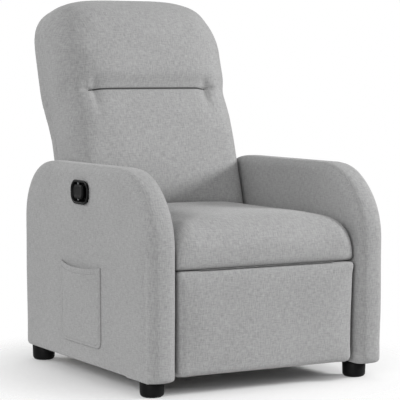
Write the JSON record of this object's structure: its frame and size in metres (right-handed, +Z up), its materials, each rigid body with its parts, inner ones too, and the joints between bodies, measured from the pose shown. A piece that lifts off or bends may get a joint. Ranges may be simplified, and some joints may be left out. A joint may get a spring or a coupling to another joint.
{
  "type": "recliner armchair",
  "caption": "Upholstered manual recliner with round-topped backrest, flat-sided arms, fold-out footrest, side pocket and pull handle on short round feet.",
  "frame": {"origin": "on the floor under the middle of the chair's bounding box", "axes": "+Z up, -Y the way the sitter faces, +X the viewer's right when looking at the front"},
  "size_m": [0.6823, 0.8499, 0.9611],
  "materials": {
    "cover_fabric": "matt tweed weave, light grey",
    "frame_wood": "sawn hardwood and plywood",
    "black_steel": "black powder coat",
    "spring_wire": "bright spring wire",
    "black_plastic": "satin black moulding",
    "webbing": "woven black webbing"
  },
  "bodies": {
    "base": {"arm_frame_left": "frame_wood", "arm_frame_right": "frame_wood", "arm_cover_left": "cover_fabric", "arm_cover_right": "cover_fabric", "leg_front_left": "black_plastic", "leg_front_right": "black_plastic", "leg_rear_left": "black_plastic", "leg_rear_right": "black_plastic", "base_plate_left": "black_steel", "base_plate_right": "black_steel", "front_cross_rail": "black_steel", "rear_cross_rail": "frame_wood", "rear_lower_panel": "cover_fabric", "handle_cup": "black_plastic", "handle_pin": "spring_wire", "lever_return_spring": "spring_wire", "release_cable": "black_plastic", "cable_latch": "black_steel", "side_pocket": "cover_fabric"},
    "front_swing_links": {"front_swing_link_left": "black_steel", "front_swing_link_right": "black_steel"},
    "rear_swing_links": {"rear_swing_link_left": "black_steel", "rear_swing_link_right": "black_steel", "rear_swing_tube": "black_steel"},
    "seat": {"seat_rail_left": "black_steel", "seat_rail_right": "black_steel", "seat_front_board": "frame_wood", "seat_rear_board": "frame_wood", "seat_side_board_left": "frame_wood", "seat_side_board_right": "frame_wood", "seat_spring_1": "spring_wire", "seat_spring_2": "spring_wire", "seat_spring_3": "spring_wire", "seat_spring_4": "spring_wire", "seat_cushion": "cover_fabric"},
    "backrest": {"back_cushion": "cover_fabric", "back_shell": "cover_fabric", "back_post_left": "frame_wood", "back_post_right": "frame_wood", "back_bracket_left": "black_steel", "back_bracket_right": "black_steel", "back_bottom_rail": "frame_wood", "back_top_rail": "frame_wood", "back_webbing_1": "webbing", "back_webbing_2": "webbing"},
    "footrest": {"footrest_pad": "cover_fabric", "footrest_board": "frame_wood", "footrest_bracket_left": "black_steel", "footrest_bracket_right": "black_steel"},
    "drive_links": {"drive_link_left": "black_steel", "drive_link_right": "black_steel", "drive_tube": "black_steel"},
    "idler_links": {"idler_link_left": "black_steel", "idler_link_right": "black_steel"},
    "upper_bars": {"upper_bar_left": "black_steel", "upper_bar_right": "black_steel"},
    "lower_bars": {"lower_bar_left": "black_steel", "lower_bar_right": "black_steel"},
    "handle": {"handle_lever": "black_plastic"}
  },
  "joints": [
    {"name": "back_recline", "type": "hinge", "parent": "seat", "child": "backrest", "pos_m": [0, 0.166, 0.3], "axis": [-1, 0, 0], "range_deg": [0, 36]},
    {"name": "front_swing", "type": "hinge", "parent": "base", "child": "front_swing_links", "pos_m": [0, -0.192, 0.15], "axis": [1, 0, 0], "range_deg": [0, 39.6]},
    {"name": "rear_swing", "type": "hinge", "parent": "base", "child": "rear_swing_links", "pos_m": [0, 0.078, 0.15], "axis": [1, 0, 0], "range_deg": [0, 39.6]},
    {"name": "seat_level", "type": "hinge", "parent": "front_swing_links", "child": "seat", "pos_m": [0, -0.15438, 0.25337], "axis": [1, 0, 0], "range_deg": [-39.6, 0]},
    {"name": "footrest_open", "type": "hinge", "parent": "seat", "child": "footrest", "pos_m": [0, -0.402, 0.412], "axis": [-1, 0, 0], "range_deg": [0, 90]},
    {"name": "drive_link_swing", "type": "hinge", "parent": "seat", "child": "drive_links", "pos_m": [0, -0.23919, 0.318], "axis": [-1, 0, 0], "range_deg": [0, 90]},
    {"name": "idler_link_swing", "type": "hinge", "parent": "seat", "child": "idler_links", "pos_m": [0, -0.16124, 0.273], "axis": [-1, 0, 0], "range_deg": [0, 90]},
    {"name": "upper_bar_turn", "type": "hinge", "parent": "drive_links", "child": "upper_bars", "pos_m": [0, -0.15519, 0.206], "axis": [-1, 0, 0], "range_deg": [-90, 0]},
    {"name": "lower_bar_turn", "type": "hinge", "parent": "drive_links", "child": "lower_bars", "pos_m": [0, -0.11919, 0.158], "axis": [-1, 0, 0], "range_deg": [-90, 0]},
    {"name": "handle_pull", "type": "hinge", "parent": "base", "child": "handle", "pos_m": [-0.327, -0.015, 0.469], "axis": [0, 0, -1], "range_deg": [0, 28], "stiffness_Nm_per_rad": 0.3, "springref_deg": -20.05}
  ],
  "couplings": [
    {"joint": "front_swing", "follows": "back_recline", "ratio": 1.1},
    {"joint": "rear_swing", "follows": "back_recline", "ratio": 1.1},
    {"joint": "seat_level", "follows": "back_recline", "ratio": -1.1},
    {"joint": "drive_link_swing", "follows": "footrest_open", "ratio": 1},
    {"joint": "idler_link_swing", "follows": "footrest_open", "ratio": 1},
    {"joint": "upper_bar_turn", "follows": "footrest_open", "ratio": -1},
    {"joint": "lower_bar_turn", "follows": "footrest_open", "ratio": -1}
  ]
}
